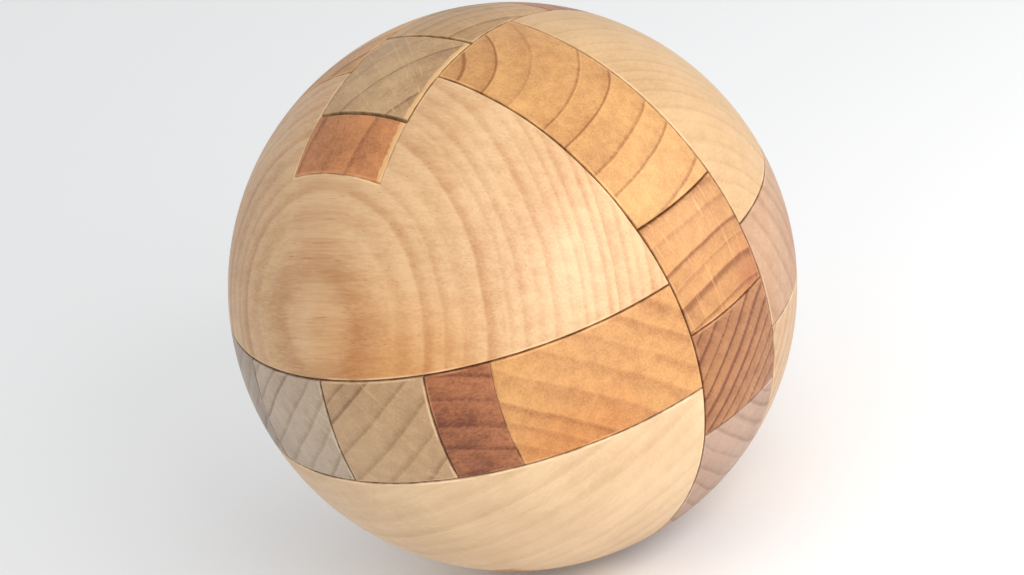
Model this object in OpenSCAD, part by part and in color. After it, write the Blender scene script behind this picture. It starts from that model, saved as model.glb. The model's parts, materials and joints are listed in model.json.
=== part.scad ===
// Interlocking wooden ball: twelve puzzle pieces made of eighteen glued-up blocks.
// The origin is the ball's centre. Everything lies on a grid of half a stick's width.
// Sticks run in pairs along X, Y and Z, and outer pieces are tied to the sticks by spines
// that pass through windows. Only the key stick is free to slide while the ball is whole.

/* [Ball] */
// Diameter of the ball
ball_d = 74; // [70:1:78]
// Width of one square stick
stick_w = 15; // [14:0.5:15]

/* [Fit] */
// Gap between two neighbouring pieces
seam = 0.16; // [0.05:0.01:0.3]
// Further clearance round the key stick
key_slack = 0.08; // [0.04:0.01:0.2]
// Further gap in front of the front upright stick and behind it
upright_slack = 0.2; // [0:0.01:0.3]

/* [Hidden] */
$fn = 96;
ball_r = ball_d / 2;
// One grid step, which is half a stick
unit = stick_w / 2;
// Grid line that lies outside the ball on every side
out = ceil(ball_r / unit) + 1;
// Each of two neighbours gives up half of the seam
half_seam = seam / 2;
key_inset = half_seam + key_slack;
// The sphere's own poles are turned away from every cut plane
ball_tilt = [38, 27, 0];

pale = "#DCC29A";
golden = "#DDB27C";
orange = "#DDA462";
tawny = "#BE8058";
grey_brown = "#B9A284";
red_brown = "#A5633F";
pinkish = "#C9A088";

module ball() {
    rotate(ball_tilt) sphere(r = ball_r);
}

// A box between grid lines x, y and z. Its walls move outward by grow, or inward if grow is negative.
module block(x, y, z, grow = 0) {
    low = [x[0], y[0], z[0]] * unit - [grow, grow, grow];
    high = [x[1], y[1], z[1]] * unit + [grow, grow, grow];
    translate(low) cube(high - low);
}

// A piece's own block, cut back from its neighbours by half a seam
module own(x, y, z) {
    block(x, y, z, -half_seam);
}

// The room that a neighbour takes, with half a seam round it
module room(x, y, z) {
    block(x, y, z, half_seam);
}

// The key's straight channel, as seen by the piece that it passes
module key_channel() {
    block([-2, 0], [-out, out], [-1, 1], half_seam);
}

// Trims a piece to the ball: the first child is kept and the others are cut away
module shaped() {
    intersection() {
        ball();
        difference() {
            children(0);
            children([1:1:$children - 1]);
        }
    }
}

// Sticks along Y

module key_stick() {
    color(grey_brown) intersection() {
        ball();
        block([-2, 0], [-out, out], [-1, 1], -key_inset);
    }
}

module through_stick_right() {
    color(grey_brown) shaped() {
        own([0, 2], [-out, out], [-1, 1]);
        room([-1, 3], [-1, 1], [0, 2]);
        room([-1, 1], [-3, 0], [-2, 2]);
        room([-1, 1], [1, 3], [-2, 2]);
    }
}

// Sticks along X

module cross_stick_upper() {
    color(orange) shaped() {
        own([-out, out], [-1, 1], [0, 2]);
        room([-3, 0], [-2, 2], [-1, 1]);
    }
}

module cross_stick_lower() {
    color(tawny) shaped() {
        own([-out, out], [-1, 1], [-2, 0]);
        room([-3, 3], [-2, 2], [-1, 1]);
        room([-1, 1], [-2, 0], [-3, 3]);
    }
}

// Sticks along Z

module upright_stick_front() {
    color(grey_brown) shaped() {
        intersection() {
            own([-1, 1], [-2, 0], [-out, out]);
            block([-2, 2], [-2, 0], [-out, out], -half_seam - upright_slack);
        }
        room([-2, 2], [-1, 1], [0, 3]);
        key_channel();
    }
}

module upright_stick_rear() {
    color(grey_brown) shaped() {
        own([-1, 1], [0, 2], [-out, out]);
        room([-2, 2], [-1, 1], [-3, 3]);
        key_channel();
    }
}

// Front and rear shells: two quarters of the ball glued to one spine

// The quarter on the side that y_side and z_side point to, either of them 1 or -1
module quarter(y_side, z_side) {
    scale([1, y_side, z_side]) shaped() {
        own([-out, out], [1, out], [1, out]);
        room([-1, 1], [0, 2], [0, out + 1]);
        block([-1, 1], [1.5, 3], [0, out + 1]);
    }
}

// The strip between the two quarters, thinned where it passes through a stick's window
module shell_spine(y_side) {
    scale([1, y_side, 1]) shaped() {
        intersection() {
            block([-1, 1], [1, 3], [-out, out]);
            own([-2, 2], [2, 4], [-out, out]);
        }
        key_channel();
        room([1, 2], [1, 4], [-1, 1]);
    }
}

module front_upper_quarter() {
    color(golden) quarter(-1, 1);
}

module front_lower_quarter() {
    color(pale) quarter(-1, -1);
}

module front_spine() {
    color(red_brown) shell_spine(-1);
}

module rear_upper_quarter() {
    color(pale) quarter(1, 1);
}

module rear_lower_quarter() {
    color(golden) quarter(1, -1);
}

module rear_spine() {
    color(red_brown) shell_spine(1);
}

// Right half-moon: two wedges glued to a strip that crosses the sticks along X

module right_wedge(y_side) {
    scale([1, y_side, 1]) intersection() {
        ball();
        own([1, out], [1, out], [-1, 1]);
        block([3, out], [1, out], [-1, 1]);
    }
}

module right_front_wedge() {
    color(orange) right_wedge(-1);
}

module right_rear_wedge() {
    color(pale) right_wedge(1);
}

module right_spine() {
    color(red_brown) shaped() {
        intersection() {
            block([1, 3], [-out, out], [-1, 1]);
            own([2, 4], [-out, out], [-1, 1]);
        }
        room([1, 4], [-1, 1], [0, 2]);
    }
}

// Half-moons cut from one block each

module left_half_moon() {
    color(grey_brown) shaped() {
        own([-out, -2], [-out, out], [-1, 1]);
        room([-out - 1, -3], [-1, 1], [-2, 2]);
    }
}

module top_half_moon() {
    color(orange) shaped() {
        own([-out, out], [-1, 1], [2, out]);
        room([-1, 1], [-2, 2], [3, out + 1]);
    }
}

module bottom_half_moon() {
    color(pinkish) shaped() {
        own([-out, out], [-1, 1], [-out, -2]);
        room([-1, 1], [-2, 2], [-out - 1, -3]);
        room([-1, 1], [-2, 0], [-4, -1]);
    }
}

key_stick();
through_stick_right();
cross_stick_upper();
cross_stick_lower();
upright_stick_front();
upright_stick_rear();
front_upper_quarter();
front_lower_quarter();
front_spine();
rear_upper_quarter();
rear_lower_quarter();
rear_spine();
right_front_wedge();
right_rear_wedge();
right_spine();
left_half_moon();
top_half_moon();
bottom_half_moon();
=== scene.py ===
"""Interlocking wooden ball puzzle: eighteen wood blocks with rounded seams and their own grain."""
import json
import math

import bmesh
import bpy
from mathutils import Matrix, Vector, noise


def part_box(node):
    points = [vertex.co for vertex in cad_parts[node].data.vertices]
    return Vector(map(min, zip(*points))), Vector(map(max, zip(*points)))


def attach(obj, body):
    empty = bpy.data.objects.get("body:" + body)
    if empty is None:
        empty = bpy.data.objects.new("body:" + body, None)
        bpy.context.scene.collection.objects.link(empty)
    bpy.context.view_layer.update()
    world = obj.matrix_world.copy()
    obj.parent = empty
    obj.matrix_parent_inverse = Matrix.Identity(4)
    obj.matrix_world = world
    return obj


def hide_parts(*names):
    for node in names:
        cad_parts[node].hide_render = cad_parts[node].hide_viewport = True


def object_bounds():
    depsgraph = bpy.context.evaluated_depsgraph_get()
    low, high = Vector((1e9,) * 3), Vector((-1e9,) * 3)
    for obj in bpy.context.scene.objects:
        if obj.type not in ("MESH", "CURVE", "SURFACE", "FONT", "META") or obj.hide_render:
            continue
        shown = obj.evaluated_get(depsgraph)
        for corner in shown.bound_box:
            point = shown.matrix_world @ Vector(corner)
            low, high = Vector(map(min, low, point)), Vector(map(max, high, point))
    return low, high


bl_info = {
    "name": "Wooden Ball Puzzle",
    "version": (1, 0, 0),
    "blender": (4, 5, 0),
    "location": "View3D > Sidebar > Ball Puzzle",
    "description": "Builds an interlocking wooden ball round its packed CAD frame",
    "category": "Add Mesh",
}

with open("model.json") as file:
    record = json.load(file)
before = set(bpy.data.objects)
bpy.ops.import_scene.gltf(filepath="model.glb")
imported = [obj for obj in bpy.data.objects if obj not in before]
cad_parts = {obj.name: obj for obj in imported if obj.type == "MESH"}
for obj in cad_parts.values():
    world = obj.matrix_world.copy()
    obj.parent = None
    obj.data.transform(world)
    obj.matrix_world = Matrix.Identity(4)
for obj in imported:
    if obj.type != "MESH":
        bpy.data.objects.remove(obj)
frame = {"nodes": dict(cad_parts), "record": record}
CAD_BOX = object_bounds()
MM = 0.001

# Sizes that the CAD frame gives
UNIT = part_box("right_spine")[1].x / 3
HALF_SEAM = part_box("right_spine")[0].x - 2 * UNIT
KEY_INSET = -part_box("key_stick")[1].x
UPRIGHT_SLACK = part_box("upright_stick_front")[0].y + 2 * UNIT - HALF_SEAM
BALL_R = max(v.co.length for v in frame["nodes"]["front_upper_quarter"].data.vertices)
OUT = math.ceil(BALL_R / UNIT) + 1

# The key's lane as a grid box, in steps of half a stick: (low corner, high corner)
KEY_LANE = ((-2, -OUT, -1), (0, OUT, 1))

# Rounded edges, in edge radii: loops across the rounding and its greatest reach. Then a plain margin
EDGE_LOOPS = (0.28, 0.62, 1.0)
EDGE_REACH = 1.6
EDGE_MARGIN = 0.25 * MM
# Share of the ball's radius beyond which a point is on its surface
SKIN = 0.996
# Wear and chips: how close together they are, the chips' own start, how rare they are and how abrupt
WEAR_SCALE = 160
CHIP_SCALE = 420
CHIP_OFFSET = (7, 3, 1)
CHIP_START = 0.42
CHIP_RISE = 0.3
# A glued edge is this close to its joint and rounded this little
GLUE_ROUND = 0.02 * MM
# Edges sharper than this many degrees stay sharp
SHARP_ANGLE = 50
# Mesh points closer than this are one point, and a cut passes through points this near, in metres
MERGE = 0.001 * MM
CUT_SNAP = 1e-7

# Growth rings, in millimetres: how far they swing over a block and how far they ripple
RING_BEND = 4.5
RING_RIPPLE = 0.3
# How much the marks are drawn out along the grain
RING_DRAW = 0.75
FIBRE_DRAW = 0.955
# How unevenly the years are spaced, in years
YEAR_SWING = 1.7
# A ring's darkest place in its year, for the softest ring, and its shift for the sharpest
CREST_SOFT = 0.68
CREST_SHIFT = 0.28
# How close together the rays stand round the pith, and how fast they change along it
RAY_CLOSENESS = 60.0
RAY_STRETCH = 0.35
# Depths below the ball's surface where seam dust and the painted edge highlight start to fade and are gone,
# in millimetres
SKIN_FROM = 0.3
SKIN_TO = 0.9
# Raggedness of the painted highlight strip and of the deeper patch, in millimetres
HIGHLIGHT_STRIP_RAGGED = 0.9
HEART_RAGGED = 8.0

# Colours of the painted highlight strip beside some seams and of the dust in the seams
HIGHLIGHT_STRIP_TONE = (0.72, 0.43, 0.18)
SEAM_TONE = (0.075, 0.03, 0.014)
# How much lighter rays and the painted highlight on rounded edges are than the wood
PALER_GAIN = 1.25
PALER_LIFT = 0.03
# How fully each mark covers the wood's colour
# The first two set how strongly the painted edge highlights show: the lighter rim on rounded edges and the
# strip beside some seams
RIM_HIGHLIGHT_COVER = 0.7
HIGHLIGHT_STRIP_COVER = 0.75
DUST_COVER = 0.75
# Height of the fibres, rings and pores in the fine relief, and its strength and depth
FIBRE_RISE = 0.6
RING_RISE = -0.5
PORE_SINK = 0.8
RELIEF_STRENGTH = 0.22
RELIEF_DEPTH = 0.05 * MM
# The satin finish
ROUGHNESS = 0.42
DARK_ROUGHER = 0.12
SPECULAR = 0.38
COAT = 0.12
COAT_ROUGHNESS = 0.3

# The floor's half width in ball radii, and its roughness
FLOOR_REACH = 60
FLOOR_ROUGHNESS = 0.8
# The light from all round
SKY_TONE = (0.98, 0.99, 1.0)
SKY_STRENGTH = 0.78
# Lamps: name, place towards the camera, up and right of it in ball radii, width, watts
LAMPS = (
    ("key_light", (8, 1.5, 3.5), 6, 0.82),
    ("right_light", (2, 4, 7), 5, 0.25),
)
# The camera's place round the ball: degrees, ball radii and millimetres of lens
CAMERA_AZIMUTH = 47.25
CAMERA_ELEVATION = 24.23
CAMERA_ROLL = 18.75
CAMERA_DISTANCE = 17.5
CAMERA_LENS = 174.9
CAMERA_SENSOR = 36
CAMERA_SHIFT = (-0.0006, -0.0008)
CAMERA_CLIP = (0.01, 100)


# ---------------------------------------------------------------- sizes and colours

class BallSizes(bpy.types.PropertyGroup):
    """Sizes of the finish on the blocks' edges"""
    edge_radius: bpy.props.FloatProperty(
        name="Edge radius", description="Rounding of a block's edges on the ball's surface",
        default=0.2 * MM, min=0.05 * MM, max=0.6 * MM, unit="LENGTH", precision=5)
    edge_wear: bpy.props.FloatProperty(
        name="Edge wear", description="How much the rounding varies along an edge",
        default=0.55, min=0.0, max=1.0, subtype="FACTOR")
    chip_depth: bpy.props.FloatProperty(
        name="Chip depth", description="Extra depth of the few chips along the edges",
        default=0.28 * MM, min=0.0, max=0.6 * MM, unit="LENGTH", precision=5)
    rows: bpy.props.IntProperty(
        name="Rows", description="Rows of faces across a quarter turn of the ball",
        default=72, min=24, max=128)


def tone(label, default):
    """A colour property with its name, shown as seen on the wood"""
    return bpy.props.FloatVectorProperty(
        name=label, description=label + " of the wood", default=default,
        size=3, min=0.0, max=1.0, subtype="COLOR")


class BallColours(bpy.types.PropertyGroup):
    """Light and dark tones of each kind of wood"""
    golden_light: tone("Golden light tone", (0.65, 0.415, 0.22))
    golden_dark: tone("Golden dark tone", (0.4, 0.175, 0.06))
    pale_light: tone("Pale light tone", (0.7, 0.49, 0.29))
    pale_dark: tone("Pale dark tone", (0.42, 0.24, 0.11))
    orange_light: tone("Orange light tone", (0.68, 0.37, 0.145))
    orange_dark: tone("Orange dark tone", (0.3, 0.115, 0.035))
    tawny_light: tone("Tawny light tone", (0.5, 0.25, 0.12))
    tawny_dark: tone("Tawny dark tone", (0.2, 0.065, 0.025))
    grey_light: tone("Grey-brown light tone", (0.53, 0.38, 0.235))
    grey_dark: tone("Grey-brown dark tone", (0.24, 0.135, 0.07))
    red_light: tone("Red-brown light tone", (0.43, 0.18, 0.085))
    red_dark: tone("Red-brown dark tone", (0.14, 0.04, 0.016))
    pink_light: tone("Pinkish light tone", (0.56, 0.37, 0.26))
    pink_dark: tone("Pinkish dark tone", (0.3, 0.155, 0.085))
    floor: tone("Floor tone", (0.92, 0.92, 0.92))


# ---------------------------------------------------------------- block shapes

def grid_box(low, high, grow):
    """A grid box's corners in metres, with every wall moved outward by grow"""
    return (Vector(low) * UNIT - Vector((grow,) * 3), Vector(high) * UNIT + Vector((grow,) * 3))


def ball_mesh(rows):
    """A ball of even four-sided faces, made by swelling a finely divided cube"""
    bm = bmesh.new()
    bmesh.ops.create_grid(bm, x_segments=rows, y_segments=rows, size=1.0)
    side = bmesh.new()
    for turn in (Matrix(), Matrix.Rotation(math.pi, 4, "X"),
                 Matrix.Rotation(math.pi / 2, 4, "X"), Matrix.Rotation(-math.pi / 2, 4, "X"),
                 Matrix.Rotation(math.pi / 2, 4, "Y"), Matrix.Rotation(-math.pi / 2, 4, "Y")):
        part = bm.copy()
        for v in part.verts:
            spread = (math.tan(v.co.x * math.pi / 4), math.tan(v.co.y * math.pi / 4), 1.0)
            v.co = (turn @ Vector(spread)).normalized() * BALL_R
        scratch = bpy.data.meshes.new("scratch")
        part.to_mesh(scratch)
        side.from_mesh(scratch)
        bpy.data.meshes.remove(scratch)
        part.free()
    bm.free()
    bmesh.ops.remove_doubles(side, verts=side.verts, dist=MERGE)
    bmesh.ops.recalc_face_normals(side, faces=side.faces)
    return side


def slice_to(bm, low, high):
    """Cuts a closed mesh down to the box between low and high, and closes each cut"""
    for axis in range(3):
        for corner, sign in ((low, -1), (high, 1)):
            if abs(corner[axis]) >= BALL_R:
                continue
            point = Vector((0, 0, 0))
            point[axis] = corner[axis]
            normal = Vector((0, 0, 0))
            normal[axis] = sign
            geom = bm.verts[:] + bm.edges[:] + bm.faces[:]
            bmesh.ops.bisect_plane(
                bm, geom=geom, dist=CUT_SNAP, plane_co=point, plane_no=normal, clear_outer=True)
            rim = [e for e in bm.edges if e.is_boundary]
            bmesh.ops.holes_fill(bm, edges=rim, sides=0)


def cut_away(mesh, low, high):
    """Cuts the box between low and high out of mesh"""
    bm = bmesh.new()
    bmesh.ops.create_cube(bm, size=1.0)
    size = high - low
    centre = (low + high) / 2
    for v in bm.verts:
        v.co = Vector(v.co[i] * size[i] + centre[i] for i in range(3))
    cutter_mesh = bpy.data.meshes.new("cutter")
    bm.to_mesh(cutter_mesh)
    bm.free()
    block = bpy.data.objects.new("block", mesh)
    cutter = bpy.data.objects.new("cutter", cutter_mesh)
    for obj in (block, cutter):
        bpy.context.scene.collection.objects.link(obj)
    boolean = block.modifiers.new("cut", "BOOLEAN")
    boolean.operation = "DIFFERENCE"
    boolean.solver = "EXACT"
    boolean.object = cutter
    graph = bpy.context.evaluated_depsgraph_get()
    result = bpy.data.meshes.new_from_object(block.evaluated_get(graph))
    bpy.data.objects.remove(block)
    bpy.data.objects.remove(cutter)
    bpy.data.meshes.remove(cutter_mesh)
    bpy.data.meshes.remove(mesh)
    return result


def distance_to_edge(p, own, cuts):
    """How far a point of the ball's surface is inside its block"""
    near = [own[1][i] - p[i] for i in range(3)] + [p[i] - own[0][i] for i in range(3)]
    for low, high in cuts:
        gap = Vector(max(low[i] - p[i], 0.0, p[i] - high[i]) for i in range(3))
        near.append(gap.length)
    return max(0.0, min(near))


def edge_planes(own, cuts):
    """Every plane on which the block has a wall: (axis, place, inward direction)"""
    planes = set()
    for axis in range(3):
        planes.add((axis, own[0][axis], 1))
        planes.add((axis, own[1][axis], -1))
        for low, high in cuts:
            planes.add((axis, low[axis], -1))
            planes.add((axis, high[axis], 1))
    return sorted(p for p in planes if abs(p[1]) < BALL_R)


def round_edges(mesh, own, cuts, sizes, glued):
    """Rounds the block's edges on the ball's surface, with wear and a few chips"""
    bm = bmesh.new()
    bm.from_mesh(mesh)
    radius = sizes.edge_radius
    reach = radius * EDGE_REACH
    loops = [loop * radius for loop in EDGE_LOOPS] + [reach, reach + EDGE_MARGIN]
    for axis, place, inward in edge_planes(own, cuts):
        normal = Vector((0, 0, 0))
        normal[axis] = 1.0
        for step in loops:
            geom = bm.verts[:] + bm.edges[:] + bm.faces[:]
            bmesh.ops.bisect_plane(bm, geom=geom, dist=CUT_SNAP, plane_no=normal,
                                   plane_co=normal * (place + inward * step))
    seam = bm.verts.layers.float.new("seam_distance")
    for v in bm.verts:
        depth = distance_to_edge(v.co, own, cuts)
        v[seam] = depth / MM
        if v.co.length < BALL_R * SKIN:
            continue
        joint = min((abs(v.co[axis] - place) for axis, place in glued), default=1.0)
        wear = 1 + sizes.edge_wear * noise.noise(v.co * WEAR_SCALE)
        chips = noise.noise(v.co * CHIP_SCALE + Vector(CHIP_OFFSET))
        chips = max(0.0, chips - CHIP_START) / CHIP_RISE
        local = min(reach, radius * wear + sizes.chip_depth * chips)
        if joint < GLUE_ROUND:
            local = GLUE_ROUND
        drop = 0.0
        if depth < local:
            drop = local - math.sqrt(max(0.0, local ** 2 - (local - depth) ** 2))
        v.co = v.co.normalized() * (BALL_R - drop)
    for face in bm.faces:
        face.smooth = True
    bmesh.ops.recalc_face_normals(bm, faces=bm.faces)
    bm.to_mesh(mesh)
    bm.free()
    mesh.set_sharp_from_angle(angle=math.radians(SHARP_ANGLE))


def carve_block(name, own, cuts=(), grow=-HALF_SEAM, glued=(), slack=0.0):
    """Makes one wood block of the ball, between grid boxes, and puts it in place of its CAD node.
    glued lists (axis, grid line) of faces that are glued to the next block without a gap.
    slack is taken off the block's front and back as well."""
    sizes = bpy.context.scene.ball_sizes
    low, high = grid_box(*own, grow)
    low.y += slack
    high.y -= slack
    for axis, line in glued:
        face = line * UNIT
        if abs(low[axis] - face) < 2 * HALF_SEAM:
            low[axis] = face
        if abs(high[axis] - face) < 2 * HALF_SEAM:
            high[axis] = face
    rooms = []
    for box_low, box_high, *extra in cuts:
        rooms.append(grid_box(box_low, box_high, extra[0] if extra else HALF_SEAM))
    bm = ball_mesh(sizes.rows)
    slice_to(bm, low, high)
    mesh = bpy.data.meshes.new(name)
    bm.to_mesh(mesh)
    bm.free()
    for room_low, room_high in rooms:
        mesh = cut_away(mesh, room_low, room_high)
    mesh.name = name
    glue_planes = [(axis, line * UNIT) for axis, line in glued]
    round_edges(mesh, (low, high), rooms, sizes, glue_planes)
    piece = bpy.data.objects.new("wood_" + name, mesh)
    bpy.context.scene.collection.objects.link(piece)
    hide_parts(name)
    body = next(b for b, members in frame["record"]["behaviour"]["bodies"].items() if name in members)
    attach(piece, body)
    return piece


# ---------------------------------------------------------------- shader groups

class Nodes:
    """Short hand for placing and joining shader nodes"""

    def __init__(self, tree):
        self.tree = tree

    def add(self, kind, **settings):
        node = self.tree.nodes.new(kind)
        for key, value in settings.items():
            setattr(node, key, value)
        return node

    def feed(self, socket, value):
        if isinstance(value, bpy.types.NodeSocket):
            self.tree.links.new(value, socket)
        else:
            socket.default_value = value

    def math(self, operation, *values, clamp=False):
        node = self.add("ShaderNodeMath", operation=operation, use_clamp=clamp)
        for socket, value in zip(node.inputs, values):
            self.feed(socket, value)
        return node.outputs[0]

    def vector(self, operation, *values):
        node = self.add("ShaderNodeVectorMath", operation=operation)
        for socket, value in zip(node.inputs, values):
            self.feed(socket, value)
        return node.outputs["Value" if operation in ("DOT_PRODUCT", "LENGTH") else "Vector"]

    def scale(self, vector, factor):
        node = self.add("ShaderNodeVectorMath", operation="SCALE")
        self.feed(node.inputs[0], vector)
        self.feed(node.inputs["Scale"], factor)
        return node.outputs["Vector"]

    def noise(self, vector, size, detail=2.0, rough=0.5):
        node = self.add("ShaderNodeTexNoise")
        self.feed(node.inputs["Vector"], vector)
        self.feed(node.inputs["Scale"], size)
        node.inputs["Detail"].default_value = detail
        node.inputs["Roughness"].default_value = rough
        return node.outputs["Fac"]

    def ramp(self, value, low, high, to_low=0.0, to_high=1.0):
        node = self.add("ShaderNodeMapRange", interpolation_type="SMOOTHSTEP")
        for socket, item in zip(node.inputs, (value, low, high, to_low, to_high)):
            self.feed(socket, item)
        return node.outputs[0]

    def sway(self, vector, reach, **grains):
        """Noise about nothing, up to half of reach either way"""
        return self.math("MULTIPLY", self.math("SUBTRACT", self.noise(vector, **grains), 0.5), reach)

    def drawn_out(self, place, grain, share):
        """A place with a share of its length along the grain taken off, so that marks run with it"""
        along = self.vector("DOT_PRODUCT", place, grain)
        return self.vector("SUBTRACT", place, self.scale(grain, self.math("MULTIPLY", along, share)))

    def round_pith(self, place, pith, grain):
        """The way straight out from the pith line, and the distance along that line"""
        from_pith = self.vector("SUBTRACT", place, pith)
        depth = self.vector("DOT_PRODUCT", from_pith, grain)
        return self.vector("SUBTRACT", from_pith, self.scale(grain, depth)), depth

    def mix(self, factor, a, b, blend="MIX"):
        node = self.add("ShaderNodeMix", data_type="RGBA", blend_type=blend)
        self.feed(node.inputs[0], factor)
        self.feed(node.inputs[6], a)
        self.feed(node.inputs[7], b)
        return node.outputs[2]


def new_group(name, inputs, outputs):
    """An empty shader group with named sockets, and its helper, input and output nodes"""
    tree = bpy.data.node_groups.new(name, "ShaderNodeTree")
    for label, kind, default in inputs:
        socket = tree.interface.new_socket(label, in_out="INPUT", socket_type="NodeSocket" + kind)
        if default is not None:
            socket.default_value = default
    for label, kind in outputs:
        tree.interface.new_socket(label, in_out="OUTPUT", socket_type="NodeSocket" + kind)
    nodes = Nodes(tree)
    return nodes, nodes.add("NodeGroupInput").outputs, nodes.add("NodeGroupOutput").inputs


def growth_rings():
    """Rings of a tree round a pith line: a broad tone for each year and its dark late-wood line.
    Lengths are in millimetres."""
    nodes, given, put = new_group(
        "Growth Rings",
        [("Place", "Vector", None), ("Pith", "Vector", (0, 0, 0)), ("Grain", "Vector", (1, 0, 0)),
         ("Spacing", "Float", 2.0), ("Wander", "Float", 1.0), ("Sharpness", "Float", 0.6)],
        [("Tone", "Float"), ("Line", "Float")])
    squeezed = nodes.drawn_out(given["Place"], given["Grain"], RING_DRAW)
    bend = nodes.sway(squeezed, RING_BEND, size=0.035, rough=0.45)
    ripple = nodes.sway(squeezed, RING_RIPPLE, size=0.22)
    shift = nodes.math("MULTIPLY", nodes.math("ADD", bend, ripple), given["Wander"])
    across, _ = nodes.round_pith(given["Place"], given["Pith"], given["Grain"])
    radius = nodes.math("ADD", nodes.vector("LENGTH", across), shift)
    years = nodes.math("DIVIDE", radius, given["Spacing"])
    lane = nodes.add("ShaderNodeCombineXYZ")
    nodes.feed(lane.inputs[0], years)
    uneven = nodes.noise(lane.outputs[0], size=0.45)
    years = nodes.math("ADD", years, nodes.math("MULTIPLY", uneven, YEAR_SWING))
    part = nodes.math("FRACT", years)
    year = nodes.add("ShaderNodeTexWhiteNoise", noise_dimensions="1D")
    nodes.feed(year.inputs["W"], nodes.math("FLOOR", years))
    chance = year.outputs["Value"]
    crest = nodes.math("ADD", nodes.math("MULTIPLY", given["Sharpness"], CREST_SHIFT), CREST_SOFT)
    rise = nodes.ramp(part, given["Sharpness"], crest)
    fall = nodes.ramp(part, crest, 1.0, to_low=1.0, to_high=0.0)
    line = nodes.math("MULTIPLY", rise, fall)
    strength = nodes.math("ADD", nodes.math("MULTIPLY", chance, 0.75), 0.25)
    nodes.feed(put["Line"], nodes.math("MULTIPLY", line, strength))
    late = nodes.math("MULTIPLY", nodes.math("POWER", part, 1.5), 0.55)
    tone_value = nodes.math("ADD", late, nodes.math("MULTIPLY", chance, 0.45))
    nodes.feed(put["Tone"], nodes.math("MULTIPLY", tone_value, fall))
    return nodes.tree


def wood_fibre():
    """Fine fibres that run along the grain and show as dots on end grain, with rays across the rings.
    Lengths are in millimetres."""
    nodes, given, put = new_group(
        "Wood Fibre",
        [("Place", "Vector", None), ("Pith", "Vector", (0, 0, 0)), ("Grain", "Vector", (1, 0, 0))],
        [("Streak", "Float"), ("Pores", "Float"), ("Rays", "Float"), ("Blotch", "Float")])
    place, grain = given["Place"], given["Grain"]
    drawn = nodes.drawn_out(place, grain, FIBRE_DRAW)
    fine = nodes.math("MULTIPLY", nodes.noise(drawn, size=3.4, detail=4.0, rough=0.72), 0.65)
    broad = nodes.math("MULTIPLY", nodes.noise(drawn, size=0.7), 0.35)
    nodes.feed(put["Streak"], nodes.ramp(nodes.math("ADD", fine, broad), 0.36, 0.64))
    cells = nodes.add("ShaderNodeTexVoronoi", feature="F1")
    nodes.feed(cells.inputs["Vector"], drawn)
    nodes.feed(cells.inputs["Scale"], 3.2)
    dots = nodes.ramp(cells.outputs["Distance"], 0.08, 0.24, to_low=1.0, to_high=0.0)
    crowds = nodes.ramp(nodes.noise(drawn, size=1.1, detail=1.0), 0.45, 0.65)
    nodes.feed(put["Pores"], nodes.math("MULTIPLY", dots, crowds))
    across, depth = nodes.round_pith(place, given["Pith"], grain)
    outward = nodes.scale(nodes.vector("NORMALIZE", across), RAY_CLOSENESS)
    inward = nodes.scale(grain, nodes.math("MULTIPLY", depth, RAY_STRETCH))
    spokes = nodes.vector("ADD", outward, inward)
    nodes.feed(put["Rays"], nodes.ramp(nodes.noise(spokes, size=2.2, rough=0.6), 0.55, 0.75))
    blotch = nodes.noise(place, size=0.075, detail=3.0, rough=0.55)
    nodes.feed(put["Blotch"], nodes.ramp(blotch, 0.3, 0.7))
    return nodes.tree


def seam_dust_and_rim_highlight():
    """A thin dark line of dust in each seam, and a painted highlight: a lighter tone on the rounded edge
    beside it, where the edge catches the light. Both stay on the ball's skin. Lengths are in millimetres."""
    nodes, given, put = new_group(
        "Edge Burnish",
        [("Place", "Vector", None), ("Distance", "Float", 5.0), ("Width", "Float", 0.13),
         ("Ball Radius", "Float", 37.0)],
        [("Dust", "Float"), ("Rub", "Float")])
    place, distance, width = given["Place"], given["Distance"], given["Width"]
    skin = nodes.math("SUBTRACT", given["Ball Radius"], nodes.vector("LENGTH", place))
    skin = nodes.ramp(skin, SKIN_FROM, SKIN_TO, to_low=1.0, to_high=0.0)
    uneven = nodes.noise(place, size=0.9, detail=3.0, rough=0.6)
    uneven = nodes.math("MULTIPLY", nodes.ramp(uneven, 0.3, 0.75, to_low=0.35, to_high=1.0), skin)
    close = nodes.ramp(distance, 0.0, width, to_low=1.0, to_high=0.0)
    nodes.feed(put["Dust"], nodes.math("MULTIPLY", close, uneven))
    # The rim output is painted light: a lighter tone on the rounded edge beside the dust, standing in for
    # the light that the edge catches
    wide = nodes.math("MULTIPLY", width, 3.0)
    rim_ramp = nodes.ramp(distance, width, wide, to_low=1.0, to_high=0.0)
    patches = nodes.ramp(nodes.noise(place, size=0.16), 0.42, 0.62)
    patches = nodes.math("MULTIPLY", patches, skin)
    nodes.feed(put["Rub"], nodes.math("MULTIPLY", rim_ramp, patches))
    return nodes.tree


def painted_highlight_strip():
    """A ragged strip of lighter colour along one face of a block: a painted highlight along an edge that
    catches the light. Lengths are in millimetres.
    """
    nodes, given, put = new_group(
        "Pale Band",
        [("Place", "Vector", None), ("Facing", "Vector", (1, 0, 0)), ("Wall", "Float", 0.0),
         ("Width", "Float", 0.9)],
        [("Band", "Float")])
    outward = nodes.vector("DOT_PRODUCT", given["Place"], given["Facing"])
    depth = nodes.math("SUBTRACT", given["Wall"], outward)
    ragged = nodes.sway(given["Place"], HIGHLIGHT_STRIP_RAGGED, size=0.8, detail=3.0, rough=0.6)
    depth = nodes.math("ADD", depth, ragged)
    soft = nodes.math("MULTIPLY", given["Width"], 0.6)
    nodes.feed(put["Band"], nodes.ramp(depth, soft, given["Width"], to_low=1.0, to_high=0.0))
    return nodes.tree


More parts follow.
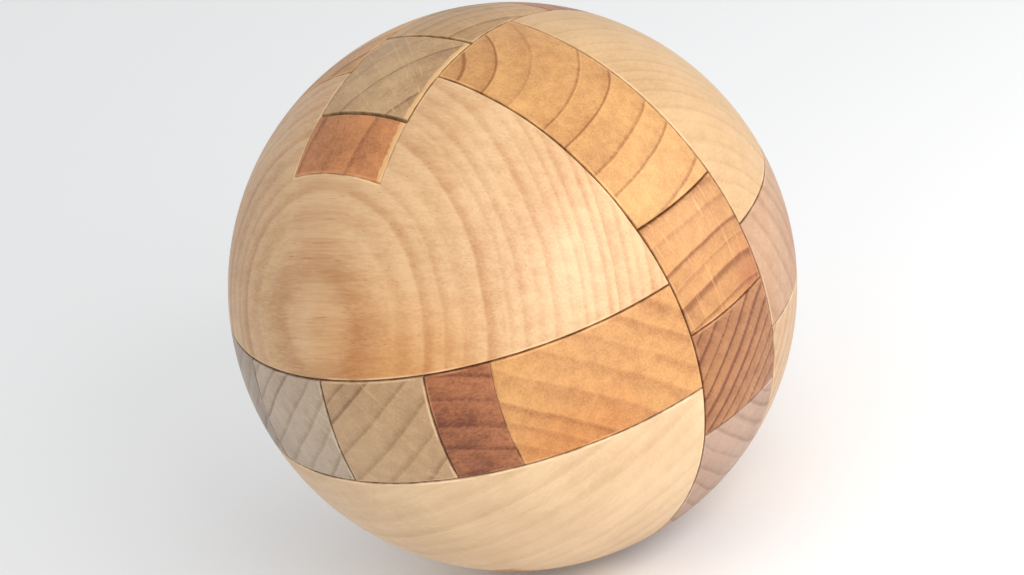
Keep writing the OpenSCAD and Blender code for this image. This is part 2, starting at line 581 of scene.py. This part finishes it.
def heartwood():
    """A soft patch of deeper colour round a point. Lengths are in millimetres."""
    nodes, given, put = new_group(
        "Heartwood",
        [("Place", "Vector", None), ("Centre", "Vector", (0, 0, 0)), ("Reach", "Float", 12.0)],
        [("Patch", "Float")])
    away = nodes.vector("LENGTH", nodes.vector("SUBTRACT", given["Place"], given["Centre"]))
    uneven = nodes.sway(given["Place"], HEART_RAGGED, size=0.12, detail=3.0, rough=0.55)
    away = nodes.math("ADD", away, uneven)
    nodes.feed(put["Patch"], nodes.ramp(away, 0.0, given["Reach"], to_low=1.0, to_high=0.0))
    return nodes.tree


def wood_groups():
    """The shader groups that every wood shares, made once"""
    makers = {"Growth Rings": growth_rings, "Wood Fibre": wood_fibre, "Edge Burnish": seam_dust_and_rim_highlight,
              "Pale Band": painted_highlight_strip, "Heartwood": heartwood}
    return {name: bpy.data.node_groups.get(name) or make() for name, make in makers.items()}


def grain_wood(name, light, dark, grain, pith, spacing, wander=1.0, sharpness=0.6, rings=0.5,
               tone_mix=0.4, streaks=0.3, rays=0.1, blotch=0.3, pores=0.3, band=None, heart=None):
    """A satin wood. grain is the fibres' direction, and pith a point of the tree's middle line, in
    grid steps. A painted highlight strip can run along one face: its argument gives that face's direction
    and grid line.
    heart is the middle of a patch of deeper colour, in grid steps, its reach in millimetres and its tone.
    The other values say how strongly each mark of the wood shows."""
    groups = wood_groups()
    material = bpy.data.materials.new(name)
    material.use_nodes = True
    tree = material.node_tree
    tree.nodes.clear()
    nodes = Nodes(tree)
    place = nodes.scale(nodes.add("ShaderNodeTexCoord").outputs["Object"], 1 / MM)
    axis = Vector(grain).normalized()
    pith_mm = Vector(pith) * UNIT / MM

    def group(label, **values):
        node = nodes.add("ShaderNodeGroup")
        node.node_tree = groups[label]
        nodes.feed(node.inputs["Place"], place)
        for key, value in values.items():
            nodes.feed(node.inputs[key], value)
        return node.outputs

    ring = group(
        "Growth Rings", Pith=pith_mm, Grain=axis, Spacing=spacing, Wander=wander, Sharpness=sharpness)
    fibre = group("Wood Fibre", Pith=pith_mm, Grain=axis)
    distance = nodes.add("ShaderNodeAttribute", attribute_name="seam_distance").outputs["Fac"]
    dust_and_highlight = group("Edge Burnish", Distance=distance, **{"Ball Radius": BALL_R / MM})

    depth = nodes.math("MULTIPLY", ring["Tone"], tone_mix)
    for value, share in ((ring["Line"], rings), (fibre["Blotch"], blotch), (fibre["Pores"], pores)):
        depth = nodes.math("ADD", depth, nodes.math("MULTIPLY", value, share))
    swing = nodes.math("MULTIPLY", nodes.math("SUBTRACT", fibre["Streak"], 0.5), streaks)
    depth = nodes.math("ADD", depth, swing, clamp=True)
    colour = nodes.mix(depth, (*light, 1), (*dark, 1))
    if heart:
        centre, reach, heart_tone = heart
        patch = group("Heartwood", Centre=Vector(centre) * UNIT / MM, Reach=reach)["Patch"]
        colour = nodes.mix(patch, colour, (*heart_tone, 1), blend="MULTIPLY")
    paler = tuple(min(1.0, c * PALER_GAIN + PALER_LIFT) for c in light)
    colour = nodes.mix(nodes.math("MULTIPLY", fibre["Rays"], rays), colour, (*paler, 1))
    # Painted highlight on the rounded block edges, where they catch the light
    colour = nodes.mix(nodes.math("MULTIPLY", dust_and_highlight["Rub"], RIM_HIGHLIGHT_COVER), colour, (*paler, 1))
    # Painted highlight strip along one face's edge
    if band:
        facing, line = band
        lit_mask = group("Pale Band", Facing=facing, Wall=line * UNIT / MM)["Band"]
        colour = nodes.mix(nodes.math("MULTIPLY", lit_mask, HIGHLIGHT_STRIP_COVER), colour, (*HIGHLIGHT_STRIP_TONE, 1))
    colour = nodes.mix(nodes.math("MULTIPLY", dust_and_highlight["Dust"], DUST_COVER), colour, (*SEAM_TONE, 1))

    risen = nodes.math("MULTIPLY", fibre["Streak"], FIBRE_RISE)
    relief = nodes.math("ADD", risen, nodes.math("MULTIPLY", ring["Line"], RING_RISE))
    relief = nodes.math("SUBTRACT", relief, nodes.math("MULTIPLY", fibre["Pores"], PORE_SINK))
    bump = nodes.add("ShaderNodeBump")
    bump.inputs["Strength"].default_value = RELIEF_STRENGTH
    bump.inputs["Distance"].default_value = RELIEF_DEPTH
    nodes.feed(bump.inputs["Height"], relief)
    gloss = nodes.math("ADD", nodes.math("MULTIPLY", depth, DARK_ROUGHER), ROUGHNESS)
    surface = nodes.add("ShaderNodeBsdfPrincipled")
    nodes.feed(surface.inputs["Base Color"], colour)
    nodes.feed(surface.inputs["Roughness"], gloss)
    nodes.feed(surface.inputs["Normal"], bump.outputs["Normal"])
    surface.inputs["Specular IOR Level"].default_value = SPECULAR
    surface.inputs["Coat Weight"].default_value = COAT
    surface.inputs["Coat Roughness"].default_value = COAT_ROUGHNESS
    nodes.feed(nodes.add("ShaderNodeOutputMaterial").inputs["Surface"], surface.outputs["BSDF"])
    return material


def finish_block(piece, wood, tint=(1, 1, 1), **marks):
    """Gives the block its own cut of a wood: the same colours times a tint, with its own grain"""
    colours = bpy.context.scene.ball_colours
    light, dark = (
        tuple(min(1.0, c * t) for c, t in zip(getattr(colours, wood + end), tint))
        for end in ("_light", "_dark"))
    name = piece.name.replace("wood_", wood + "_")
    piece.data.materials.clear()
    piece.data.materials.append(grain_wood(name, light, dark, **marks))


# ---------------------------------------------------------------- operators

class PieceOperator(bpy.types.Operator):
    """Shared base of the operators that make blocks"""
    bl_options = {"REGISTER", "UNDO"}


class BALL_OT_y_sticks(PieceOperator):
    """Makes the key stick and its neighbour, which run front to back"""
    bl_idname = "ball.y_sticks"
    bl_label = "Key Stick and Its Neighbour"

    def execute(self, context):
        key = carve_block("key_stick", KEY_LANE, grow=-KEY_INSET)
        # The bluer tint paints in the blue-grey reflection on the shaded left side of the ball
        finish_block(key, "grey", tint=(0.95, 1.02, 1.18), grain=(0.05, 1, 0.08), pith=(-8, 0, 8),
                     spacing=3.0, rays=0.3, rings=0.5, streaks=0.3, pores=0.5)
        stick = carve_block(
            "through_stick_right", ((0, -OUT, -1), (2, OUT, 1)),
            [((-1, -1, 0), (3, 1, 2)), ((-1, -3, -2), (1, 0, 2)), ((-1, 1, -2), (1, 3, 2))])
        finish_block(stick, "grey", tint=(0.97, 0.87, 0.75), grain=(0.04, 1, -0.05), pith=(-6, 0, 8),
                     spacing=3.1, rays=0.3, rings=0.5, streaks=0.3, pores=0.5)
        return {"FINISHED"}


class BALL_OT_x_sticks(PieceOperator):
    """Makes the two sticks that run side to side"""
    bl_idname = "ball.x_sticks"
    bl_label = "Cross Sticks"

    def execute(self, context):
        upper = carve_block(
            "cross_stick_upper", ((-OUT, -1, 0), (OUT, 1, 2)), [((-3, -2, -1), (0, 2, 1))])
        finish_block(upper, "orange", tint=(0.8, 0.72, 0.64), grain=(1, 0.05, 0.04), pith=(0, -0.5, -6),
                     spacing=2.8, rays=0.6, rings=0.7, streaks=0.35, pores=0.5,
                     heart=((4.6, 1, 0), 9, (0.72, 0.45, 0.4)))
        lower = carve_block(
            "cross_stick_lower", ((-OUT, -1, -2), (OUT, 1, 0)),
            [((-3, -2, -1), (3, 2, 1)), ((-1, -2, -3), (1, 0, 3))])
        finish_block(lower, "tawny", tint=(0.76, 0.66, 0.5), grain=(1, -0.06, 0.05), pith=(0, 4.8, -7.4),
                     spacing=1.9, rays=0.25, rings=1.0, streaks=0.45, pores=0.6, tone_mix=0.6)
        return {"FINISHED"}


class BALL_OT_z_sticks(PieceOperator):
    """Makes the two upright sticks"""
    bl_idname = "ball.z_sticks"
    bl_label = "Upright Sticks"

    def execute(self, context):
        front = carve_block(
            "upright_stick_front", ((-1, -2, -OUT), (1, 0, OUT)), [((-2, -1, 0), (2, 1, 3)), KEY_LANE],
            slack=UPRIGHT_SLACK)
        # Along its right-facing face it gets a painted highlight strip
        finish_block(front, "grey", tint=(1.0, 0.88, 0.7), grain=(0.03, 0.06, 1), pith=(7, -7, 0),
                     spacing=3.6, rays=0.4, rings=0.45, streaks=0.4, blotch=0.55, pores=0.6,
                     sharpness=0.8, tone_mix=0.25, band=((1, 0, 0), 1))
        rear = carve_block(
            "upright_stick_rear", ((-1, 0, -OUT), (1, 2, OUT)), [((-2, -1, -3), (2, 1, 3)), KEY_LANE])
        finish_block(rear, "grey", tint=(1.0, 0.84, 0.6), grain=(-0.05, 0.04, 1), pith=(7, -2, 0),
                     spacing=2.6, rays=0.3, rings=0.4, streaks=0.25, blotch=0.5)
        return {"FINISHED"}


def shell(side, label, woods, marks):
    """Two quarters of the ball and the spine that ties them, on the side of -Y or +Y"""
    def span(a, b):
        return sorted((a * side, b * side))

    for level, sign, wood, mark in (("upper", 1, woods[0], marks[0]), ("lower", -1, woods[1], marks[1])):
        (y0, y1), (z0, z1) = span(1, OUT), sorted((sign, OUT * sign))
        (n0, n1), (s0, s1) = span(0, 2), span(1.5, 3)
        deep = sorted((0, (OUT + 1) * sign))
        quarter = carve_block(
            f"{label}_{level}_quarter", ((-OUT, y0, z0), (OUT, y1, z1)),
            [((-1, n0, deep[0]), (1, n1, deep[1])), ((-1, s0, deep[0]), (1, s1, deep[1]), 0.0)],
            glued=[(0, 1), (0, -1), (1, 3 * side)])
        finish_block(quarter, wood, **mark)
    (y0, y1), (w0, w1) = span(2, 3), span(1, 4)
    spine = carve_block(
        f"{label}_spine", ((-1, y0, -OUT), (1, y1, OUT)), [KEY_LANE, ((1, w0, -1), (2, w1, 1))],
        glued=[(0, 1), (0, -1), (1, 3 * side)])
    finish_block(spine, "red", **marks[2])


class BALL_OT_front_shell(PieceOperator):
    """Makes the front shell: two quarters glued to a spine"""
    bl_idname = "ball.front_shell"
    bl_label = "Front Shell"

    def execute(self, context):
        shell(-1, "front", ("golden", "pale"), (
            dict(grain=(1, 0.03, 0.05), pith=(-0.8, 14, -5.6), spacing=1.4, wander=0.4, rings=0.34,
                 streaks=0.35, sharpness=0.2, tone_mix=0.22, pores=0.65,
                 heart=((1.6, -4.5, 0.8), 19, (0.94, 0.75, 0.5))),
            dict(grain=(1, 0.3, 0.33), pith=(-3.2, -7.7, 13), spacing=2.8, wander=0.5, rings=0.17,
                 streaks=0.2, tone_mix=0.15, sharpness=0.2, pores=0.4),
            # The spine gets a painted highlight strip along its right-facing face
            dict(tint=(1.3, 1.25, 0.9), grain=(0.1, -0.75, 0.66), pith=(12, -3, 2), spacing=5.2, rings=0.3,
                 streaks=0.45, pores=0.7, blotch=0.5, tone_mix=0.2, sharpness=0.75, band=((1, 0, 0), 1))))
        return {"FINISHED"}


class BALL_OT_rear_shell(PieceOperator):
    """Makes the rear shell: two quarters glued to a spine"""
    bl_idname = "ball.rear_shell"
    bl_label = "Rear Shell"

    def execute(self, context):
        shell(1, "rear", ("pale", "golden"), (
            dict(tint=(0.85, 0.78, 0.66), grain=(0.05, 1, 0.02), pith=(-12, 0, 2), spacing=1.5, wander=0.3,
                 rings=0.14, streaks=0.25, tone_mix=0.2),
            dict(tint=(0.85, 0.9, 1.0), grain=(1, 0.04, -0.05), pith=(0, -9, 8), spacing=2.3, wander=0.8,
                 rings=0.3, streaks=0.3),
            dict(grain=(1, -0.02, 0.03), pith=(0, -5, 9), spacing=2.2, rings=0.5, streaks=0.55, pores=0.6)))
        return {"FINISHED"}


class BALL_OT_right_half_moon(PieceOperator):
    """Makes the right half-moon: two wedges glued to a strip"""
    bl_idname = "ball.right_half_moon"
    bl_label = "Right Half-Moon"

    def execute(self, context):
        for side, label, wood, tint, pith in (
                (-1, "front", "orange", (0.88, 0.81, 0.7), (-0.8, -8.0, -8.6)),
                (1, "rear", "pale", (0.66, 0.56, 0.55), (-3, 12, 5))):
            y0, y1 = sorted((side, OUT * side))
            wedge = carve_block(
                f"right_{label}_wedge", ((3, y0, -1), (OUT, y1, 1)), glued=[(0, 3)])
            finish_block(wedge, wood, tint=tint, grain=(0.75, 0.66 * side, 0), pith=pith, spacing=3.2,
                         wander=0.8, rings=0.3, streaks=0.4, tone_mix=0.3, pores=0.6, sharpness=0.3,
                         heart=((3.6, 3 * side, -1.2), 14, (0.95, 0.74, 0.58)))
        spine = carve_block(
            "right_spine", ((2, -OUT, -1), (3, OUT, 1)), [((1, -1, 0), (4, 1, 2))], glued=[(0, 3)])
        finish_block(spine, "red", tint=(0.95, 0.82, 0.66), grain=(1, 0.1, 0.12), pith=(0, 3, 9),
                     spacing=2.6, rings=0.4, streaks=0.55, pores=0.8, blotch=0.55)
        return {"FINISHED"}


class BALL_OT_half_moons(PieceOperator):
    """Makes the left, top and bottom half-moons, each cut from one block"""
    bl_idname = "ball.half_moons"
    bl_label = "Left, Top and Bottom Half-Moons"

    def execute(self, context):
        left = carve_block(
            "left_half_moon", ((-OUT, -OUT, -1), (-2, OUT, 1)), [((-OUT - 1, -1, -2), (-3, 1, 2))])
        # The darker, bluer tint paints in the shade and blue-grey reflection of the ball's left side
        finish_block(left, "grey", tint=(0.75, 0.8, 0.98), grain=(0.04, 1, 0.1), pith=(-10, 0, 8),
                     spacing=2.8, rings=0.35)
        top = carve_block(
            "top_half_moon", ((-OUT, -1, 2), (OUT, 1, OUT)), [((-1, -2, 3), (1, 2, OUT + 1))])
        finish_block(top, "orange", tint=(0.93, 0.9, 0.8), grain=(0.58, 0.05, 0.81), pith=(0.3, -1.2, 5.2),
                     spacing=4.4, wander=0.9, rings=0.6, streaks=0.4, sharpness=0.82, pores=0.65)
        bottom = carve_block(
            "bottom_half_moon", ((-OUT, -1, -OUT), (OUT, 1, -2)),
            [((-1, -2, -OUT - 1), (1, 2, -3)), ((-1, -2, -4), (1, 0, -1))])
        finish_block(bottom, "pink", tint=(0.75, 0.73, 0.75), grain=(1, 0.05, 0.03), pith=(0, 5, 4),
                     spacing=2.0, rings=0.4)
        return {"FINISHED"}


class BALL_OT_stage(bpy.types.Operator):
    """Makes the pale floor, the soft lights and the camera"""
    bl_idname = "ball.stage"
    bl_label = "Floor, Lights and Camera"

    def execute(self, context):
        scene = context.scene
        floor_mesh = bpy.data.meshes.new("floor")
        reach = FLOOR_REACH * BALL_R
        level = CAD_BOX[0].z
        corners = [(-reach, -reach, level), (reach, -reach, level),
                   (reach, reach, level), (-reach, reach, level)]
        floor_mesh.from_pydata(corners, [], [(0, 1, 2, 3)])
        floor = bpy.data.objects.new("floor", floor_mesh)
        scene.collection.objects.link(floor)
        paint = bpy.data.materials.new("floor_paint")
        paint.use_nodes = True
        shader = paint.node_tree.nodes["Principled BSDF"]
        shader.inputs["Base Color"].default_value = (*scene.ball_colours.floor, 1)
        shader.inputs["Roughness"].default_value = FLOOR_ROUGHNESS
        floor_mesh.materials.append(paint)

        scene.view_settings.view_transform = "Standard"
        world = bpy.data.worlds.new("tent")
        world.use_nodes = True
        sky = world.node_tree.nodes["Background"]
        sky.inputs["Color"].default_value = (*SKY_TONE, 1)
        sky.inputs["Strength"].default_value = SKY_STRENGTH
        scene.world = world

        back, up, right = camera_axes()
        for name, (nearer, higher, aside), width, watts in LAMPS:
            place = back * nearer + up * higher + right * aside
            lamp = bpy.data.lights.new(name, "AREA")
            lamp.size = width * BALL_R
            lamp.energy = watts
            light = bpy.data.objects.new(name, lamp)
            light.location = place * BALL_R
            light.rotation_euler = place.to_track_quat("Z", "Y").to_euler()
            scene.collection.objects.link(light)

        lens = bpy.data.cameras.new("camera")
        lens.sensor_width = CAMERA_SENSOR
        lens.lens = CAMERA_LENS
        lens.shift_x = CAMERA_SHIFT[0]
        lens.shift_y = CAMERA_SHIFT[1]
        lens.clip_start, lens.clip_end = CAMERA_CLIP
        camera = bpy.data.objects.new("camera", lens)
        camera.matrix_world = Matrix.Translation(back * CAMERA_DISTANCE * BALL_R) @ Matrix(
            (right, up, back)).transposed().to_4x4()
        scene.collection.objects.link(camera)
        scene.camera = camera
        return {"FINISHED"}


def camera_axes():
    """The directions towards the camera, up in its picture and right in its picture"""
    azimuth = math.radians(CAMERA_AZIMUTH)
    elevation = math.radians(CAMERA_ELEVATION)
    back = Vector((math.sin(azimuth) * math.cos(elevation),
                   -math.cos(azimuth) * math.cos(elevation), math.sin(elevation)))
    level = Vector((math.cos(azimuth), math.sin(azimuth), 0))
    upright = back.cross(level)
    roll = math.radians(CAMERA_ROLL)
    up = upright * math.cos(roll) + level * math.sin(roll)
    right = up.cross(back)
    return back, up, right


class BALL_PT_panel(bpy.types.Panel):
    """Lists the ball's settings and the steps that build it"""
    bl_idname = "BALL_PT_panel"
    bl_label = "Wooden Ball Puzzle"
    bl_space_type = "VIEW_3D"
    bl_region_type = "UI"
    bl_category = "Ball Puzzle"

    def draw(self, context):
        for group in (context.scene.ball_sizes, context.scene.ball_colours):
            box = self.layout.box()
            for name in group.__annotations__:
                box.prop(group, name)
        for step in STEPS:
            self.layout.operator(step.bl_idname)


STEPS = (BALL_OT_stage, BALL_OT_y_sticks, BALL_OT_x_sticks, BALL_OT_z_sticks, BALL_OT_front_shell,
         BALL_OT_rear_shell, BALL_OT_right_half_moon, BALL_OT_half_moons)
CLASSES = (BallSizes, BallColours, *STEPS, BALL_PT_panel)


def register():
    for item in CLASSES:
        bpy.utils.register_class(item)
    bpy.types.Scene.ball_sizes = bpy.props.PointerProperty(type=BallSizes)
    bpy.types.Scene.ball_colours = bpy.props.PointerProperty(type=BallColours)


def unregister():
    del bpy.types.Scene.ball_sizes
    del bpy.types.Scene.ball_colours
    for item in reversed(CLASSES):
        bpy.utils.unregister_class(item)


def main():
    """Builds the whole ball on its stage"""
    register()
    for step in STEPS:
        area, name = step.bl_idname.split(".")
        getattr(getattr(bpy.ops, area), name)()


if __name__ == "__main__":
    main()
